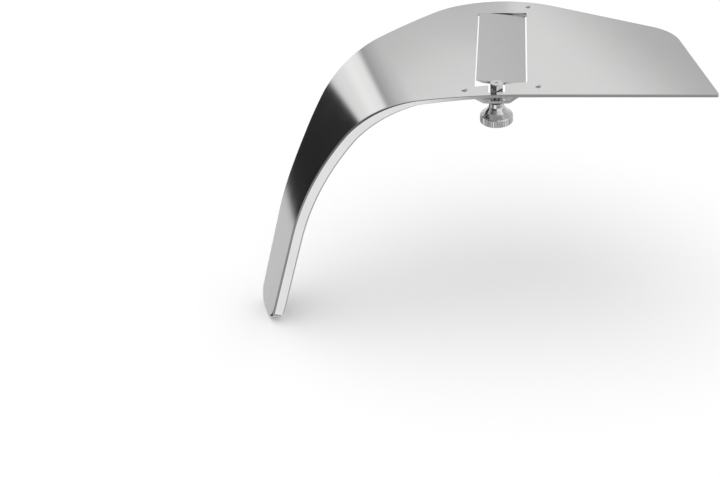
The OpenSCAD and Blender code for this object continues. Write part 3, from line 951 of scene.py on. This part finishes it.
knee = np.array([70.2, -1.0])
to_eye = np.array([EYE_Y, EYE_Z]) - knee
slope_down = math.atan2(to_eye[1], to_eye[0]) + math.asin(EYE_R / np.linalg.norm(to_eye))
curl = [math.pi / 2 + slope_down - math.radians(step) for step in range(0, 266, 5)]
curl_points = np.array([[EYE_Y + EYE_R * math.cos(w), EYE_Z + EYE_R * math.sin(w)] for w in curl])
leaf_start = rounded([[57.7, -1, 0], [*knee, 2.5], [*curl_points[0], 0]], 8, 0.3)
leaf_stop = int(((leaf_start - curl_points[0]) ** 2).sum(1).argmin())
leaf_path = np.concatenate([leaf_start[:leaf_stop], curl_points])
leaf_length = np.concatenate([[0], np.cumsum(np.linalg.norm(np.diff(leaf_path, axis=0), axis=1))])


def lay_leaf(u, v, w):
    """The leaf's path lies in y and z of the tilted directions, its width in x."""
    return tilted(np.stack([-w, u, v], 1))


leaf_mesh = strip(leaf_path, leaf_length, LEAF_T, lay_leaf, (-LEAF_HALF, LEAF_HALF), [], 0.5, 0.1)
piece("hinge_leaf", *leaf_mesh[:2], spring_steel, "cutter", "hinge_leaf", leaf_mesh[2], leaf_mesh[3])

# %% [markdown]
# ## Turned pieces
# Bolt, nut, rivets, washer and pin are round. Each is a profile spun about its
# axis. A screw modifier could spin it, but here the radius may also change with
# the angle, which gives the hexagon, the thread and the knurls.

# %% Spin a profile


def profile(corners, steps=4):
    """Open profile through [radius, height, rounding] corners."""
    corners = np.asarray(corners, float)
    made = [corners[0, :2]]
    for before, (r, z, round_by), after in zip(corners, corners[1:], corners[2:]):
        here = np.array([r, z])
        if round_by <= 0:
            made.append(here)
            continue
        back, ahead = unit(before[:2] - here), unit(after[:2] - here)
        for step in range(steps + 1):
            t = step / steps
            made.append(here + back * round_by * (1 - t) ** 2 + ahead * round_by * t * t)
    made.append(corners[-1, :2])
    return np.array(made)


def spun(line, count, shape=None, looped=False):
    """Points and faces of a profile spun about the z axis."""
    angles = 2 * np.pi * np.arange(count) / count
    points, rings, faces = [], [], []
    for r, z in line:
        if r < 1e-6 and not looped:
            rings.append([len(points)])
            points.append((0, 0, z))
            continue
        radii = np.full(count, r) if shape is None else shape(r, z, angles)
        rings.append(list(range(len(points), len(points) + count)))
        points += [(a * math.cos(w), a * math.sin(w), z) for a, w in zip(radii, angles)]
    pairs = list(zip(rings, rings[1:])) + ([(rings[-1], rings[0])] if looped else [])
    for high_ring, low_ring in pairs:
        for k in range(count):
            m = (k + 1) % count
            if len(high_ring) == 1:
                faces.append((high_ring[0], low_ring[k], low_ring[m]))
            elif len(low_ring) == 1:
                faces.append((high_ring[k], low_ring[0], high_ring[m]))
            else:
                faces.append((high_ring[k], low_ring[k], low_ring[m], high_ring[m]))
    return np.array(points, float), faces


def crisp(made, angle=32):
    """Keeps edges sharper than an angle sharp, and smooths the rest evenly."""
    made.data.set_sharp_from_angle(angle=math.radians(angle))
    weighted = made.modifiers.new("even_normals", "WEIGHTED_NORMAL")
    weighted.keep_sharp = True
    return made


def moved(points, x=0, y=0, z=0):
    """Points moved by x, y and z."""
    return np.asarray(points, float) + [x, y, z]


print("a spun disc has", len(spun(profile([[0, 1, 0], [2, 1, 0.2], [2, 0, 0.2], [0, 0, 0]]), 24)[1]), "faces")

# %% [markdown]
# ## Adjusting bolt
# The bolt's low hexagon head has a turned chamfer and a small dimple. Its shank
# carries a fine thread of 0.45 mm pitch, modelled as a radius that follows the
# angle, so it winds like the real one.

# %% Make the adjusting bolt
SEAT, HEAD_AF, HEAD_H = -0.1, 4.6, 2.4
SHANK_R, PITCH, BOLT_END = 1.25, 0.45, -12.55
head_top = SEAT + HEAD_H
dimple = [[r, head_top + 1.1 - math.sqrt(1.35 ** 2 - r * r)] for r in np.linspace(0, 0.78, 8)]
chamfer = [[r, z] for r, z in np.linspace([HEAD_AF / 2 - 0.06, head_top],
                                          [HEAD_AF / math.sqrt(3), head_top - 0.36], 9)]
shank = [[SHANK_R, z] for z in np.arange(SEAT - 0.35, BOLT_END + 0.25, -PITCH / 8)]
bolt_line = np.array([*dimple, [1.3, head_top], *chamfer, [HEAD_AF / math.sqrt(3), SEAT + 0.12],
                      [HEAD_AF / math.sqrt(3) - 0.1, SEAT], [SHANK_R, SEAT], *shank,
                      [SHANK_R - 0.28, BOLT_END], [0, BOLT_END]])


def bolt_shape(r, z, angles):
    """Hexagon above the seat, thread below it."""
    if z > SEAT - 0.05 and r > SHANK_R + 0.02:
        around_flat = (angles + math.pi / 6) % (math.pi / 3) - math.pi / 6
        return np.minimum(r, HEAD_AF / 2 / np.cos(around_flat))
    if BOLT_END + 0.1 < z < SEAT - 0.3 and r > 1:
        wave = np.abs(((z / PITCH - angles / (2 * math.pi)) % 1) * 2 - 1)
        return r - 0.20 * np.clip((wave - 0.12) / 0.7, 0, 1)
    return np.full(len(angles), r)


bolt_points, bolt_faces = spun(bolt_line, 72, bolt_shape)
crisp(piece("adjusting_bolt", moved(bolt_points, BOLT_X, BOLT_Y), bolt_faces, bright_steel,
            "bolt", "adjusting_bolt"), 28)

# %% [markdown]
# ## Thumb nut
# A high knurled nut: a slim collar, a cone, a shoulder, and a wide rim with
# straight knurls. Each knurl's groove is a small V, cut no deeper than the
# rim's chamfers allow.

# %% Make the thumb nut
NUT_TOP, NUT_BOTTOM = -5.35, -13.45
RIM_R, RIM_TOP, KNURLS, KNURL_DEPTH = 6.15, -10.25, 38, 0.28
nut_outside = profile([
    [1.30, NUT_TOP - 0.25, 0], [1.55, NUT_TOP, 0.05], [2.85, NUT_TOP, 0.2], [2.85, -7.15, 0.5],
    [4.35, -9.05, 0.35],
    [RIM_R - 0.9, RIM_TOP + 0.5, 0.12], [RIM_R - 0.2, RIM_TOP, 0.08], [RIM_R, RIM_TOP - 0.4, 0.12],
    [RIM_R, NUT_BOTTOM + 0.4, 0.12], [RIM_R - 0.4, NUT_BOTTOM, 0.15], [3.4, NUT_BOTTOM, 0.1],
    [3.2, NUT_BOTTOM + 0.25, 0.1], [1.75, NUT_BOTTOM + 0.25, 0.1], [1.30, NUT_BOTTOM + 0.6, 0]], 5)
fine = divided(nut_outside, 0.5, closed=False)


def nut_shape(r, z, angles):
    """The rim's radius is cut back by a ring of V grooves."""
    if z > RIM_TOP + 0.4 or r < RIM_R - KNURL_DEPTH:
        return np.full(len(angles), r)
    pitch_angle = 2 * math.pi / KNURLS
    off = np.abs((angles + pitch_angle / 2) % pitch_angle - pitch_angle / 2) * RIM_R
    return np.minimum(r, RIM_R - KNURL_DEPTH + off)


nut_points, nut_faces = spun(fine, KNURLS * 12, nut_shape, looped=True)
crisp(piece("thumb_nut", moved(nut_points, BOLT_X, BOLT_Y), nut_faces, turned_steel,
            "nut", "thumb_nut"), 34)

# %% [markdown]
# The friction washer keeps the nut from working loose. It is a plain ring with
# softened rims between the bridge and the nut.

# %% Make the friction washer
washer_line = profile([[1.5, -5.0, 0], [1.5, -4.7, 0.06], [2.7, -4.7, 0.1],
                       [2.7, -5.3, 0.1], [1.5, -5.3, 0.06], [1.5, -5.05, 0]])
washer_points, washer_faces = spun(washer_line, 72, looped=True)
crisp(piece("friction_washer", moved(washer_points, BOLT_X, BOLT_Y), washer_faces, black_nylon,
            "frame", "friction_washer"))

# %% [markdown]
# ## Rivets
# Three small rivets hold the bridge and the hinge bracket. Each has a domed
# head above the plate, a shank, and a flat set head below. They stand square on
# the plate, so the left one leans with the start of the bend.

# %% Make the rivets


def rivet(at, grip):
    """Points and faces of a rivet at a place on the plate, through a grip."""
    dome_r = (1.25 ** 2 + 0.55 ** 2) / (2 * 0.55)
    dome = [[r, 0.55 - dome_r + math.sqrt(dome_r ** 2 - r * r), 0] for r in np.linspace(0, 1.22, 9)]
    line = profile([*dome, [1.25, 0.0, 0], [0.8, 0.0, 0], [0.8, -grip, 0], [1.15, -grip, 0.05],
                    [1.15, -grip - 0.4, 0.12], [0, -grip - 0.4, 0]])
    points, faces = spun(line, 40)
    place, normal = body_face(False)(from_plan([at], False))
    up = normal[0]
    side_way = unit(np.cross([0, 1, 0], up))
    return place[0] + points @ np.array([side_way, np.cross(up, side_way), up]), faces


rivet_points, rivet_faces = [], []
for at in RIVETS[:2]:
    top_height = float(body_face(False)(from_plan([at], False))[0][0, 2])
    points, faces = rivet(at, top_height - foot(at[0]) + 1.03)
    count = sum(len(p) for p in rivet_points)
    rivet_points.append(points)
    rivet_faces += [tuple(k + count for k in face) for face in faces]
crisp(piece("bridge_rivets", np.concatenate(rivet_points), rivet_faces, bright_steel,
            "frame", "bridge_rivets"))
points, faces = rivet(RIVETS[2], 2.2)
crisp(piece("hinge_rivet", points, faces, bright_steel, "frame", "hinge_rivet"))

# %% [markdown]
# ## Far hinge
# The pin is a short rod with rounded ends, lying in the blade's tilted
# direction.

# %% Make the hinge pin
pin_line = profile([[0, 6.5, 0], [0.8, 6.5, 0.22], [0.8, -6.5, 0.22], [0, -6.5, 0]])
pin_points, pin_faces = spun(pin_line, 32)
laid = np.stack([pin_points[:, 2], EYE_Y + pin_points[:, 1], EYE_Z - pin_points[:, 0]], 1)
crisp(piece("hinge_pin", tilted(laid), pin_faces, bright_steel, "frame", "hinge_pin"))

# %% [markdown]
# The bracket is a small pressed plate with two ears for the pin. Three simple
# solids are joined and drilled with booleans, and a bevel rounds its edges.
# It is matt and hidden, so a bevel's small unevenness doesn't show.

# %% Make the hinge bracket


def prism(name, outline, start_at, stop_at, axis):
    """A helper solid: an outline in two axes, drawn out along the third."""
    outline = np.asarray(outline, float)
    ends = []
    for level in (start_at, stop_at):
        full = np.insert(outline, axis, level, axis=1)
        ends.append(full)
    count = len(outline)
    mesh = bpy.data.meshes.new(name)
    faces = [tuple(range(count)), tuple(range(2 * count - 1, count - 1, -1))]
    faces += [(k, k + count, (k + 1) % count + count, (k + 1) % count) for k in range(count)]
    mesh.from_pydata([tuple(p) for p in np.concatenate(ends) * MM], [], faces)
    work = bmesh.new()
    work.from_mesh(mesh)
    bmesh.ops.recalc_face_normals(work, faces=work.faces)
    work.to_mesh(mesh)
    work.free()
    made = bpy.data.objects.new(name, mesh)
    bpy.context.scene.collection.objects.link(made)
    return made


def combined(base, tool, operation):
    """Base with tool joined to it or cut from it; the tool is used up."""
    step = base.modifiers.new("combine", "BOOLEAN")
    step.operation, step.object, step.solver = operation, tool, "EXACT"
    shaped = bpy.data.meshes.new_from_object(base.evaluated_get(bpy.context.evaluated_depsgraph_get()))
    base.modifiers.clear()
    base.data = shaped
    bpy.data.objects.remove(tool)
    return base


eye_x = BLADE_X + EYE_Z * math.sin(TILT)
eye_z = BLADE_Z + EYE_Z * math.cos(TILT)
base = prism("bracket_work", [[eye_x - 6, 75.4], [RIVETS[2][0] + 2.5, 75.4], [RIVETS[2][0] + 2.5, 82.3],
                              [eye_x - 6, 82.3]], -2.2, -1.2, 2)
ear = rounded([[EYE_Y - 2.1, -1.7, 0], [EYE_Y - 2.1, eye_z - 2.1, 2.05], [EYE_Y + 2.1, eye_z - 2.1, 2.05],
               [EYE_Y + 2.1, -1.7, 0]], 10, 9)
for ear_x in (eye_x - 6, eye_x + 5):
    base = combined(base, prism("ear", ear, ear_x, ear_x + 1, 0), "UNION")
drill_points, drill_faces = spun(np.array([[0, 12], [0.82, 12], [0.82, -12], [0, -12]]), 32)
pin_drill = np.stack([drill_points[:, 2], EYE_Y + drill_points[:, 1], EYE_Z - drill_points[:, 0]], 1)
for axis_points in (tilted(pin_drill), moved(drill_points, RIVETS[2][0], RIVETS[2][1])):
    drill_mesh = bpy.data.meshes.new("drill")
    drill_mesh.from_pydata([tuple(p) for p in axis_points * MM], [], drill_faces)
    drill = bpy.data.objects.new("drill", drill_mesh)
    bpy.context.scene.collection.objects.link(drill)
    base = combined(base, drill, "DIFFERENCE")
bracket_points = np.array([v.co[:] for v in base.data.vertices]) / MM
bracket_faces = [tuple(p.vertices) for p in base.data.polygons]
bpy.data.objects.remove(base)
bracket = piece("hinge_bracket", bracket_points, bracket_faces, pressed_steel, "frame", "hinge_bracket")
rolled = bracket.modifiers.new("rolled_edges", "BEVEL")
rolled.width, rolled.segments, rolled.limit_method = 0.14 * MM, 3, "ANGLE"
rolled.angle_limit = math.radians(40)
crisp(bracket, 45)

# %% [markdown]
# ## Lift spring
# The small coil spring under the tongue keeps the blade up against the bolt's
# head. The frame's own spring already has the right coils and is squeezed with
# the bolt, so it stays and only gets its finish.

# %% Finish the spring
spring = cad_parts["lift_spring"]
spring.material_slots[0].material = spring_steel
print("spring finish:", spring.material_slots[0].material.name)

# %% [markdown]
# ## Size
# The CAD model's box is printed at the end.

# %% Print the CAD box
print("CAD box", cad_box)
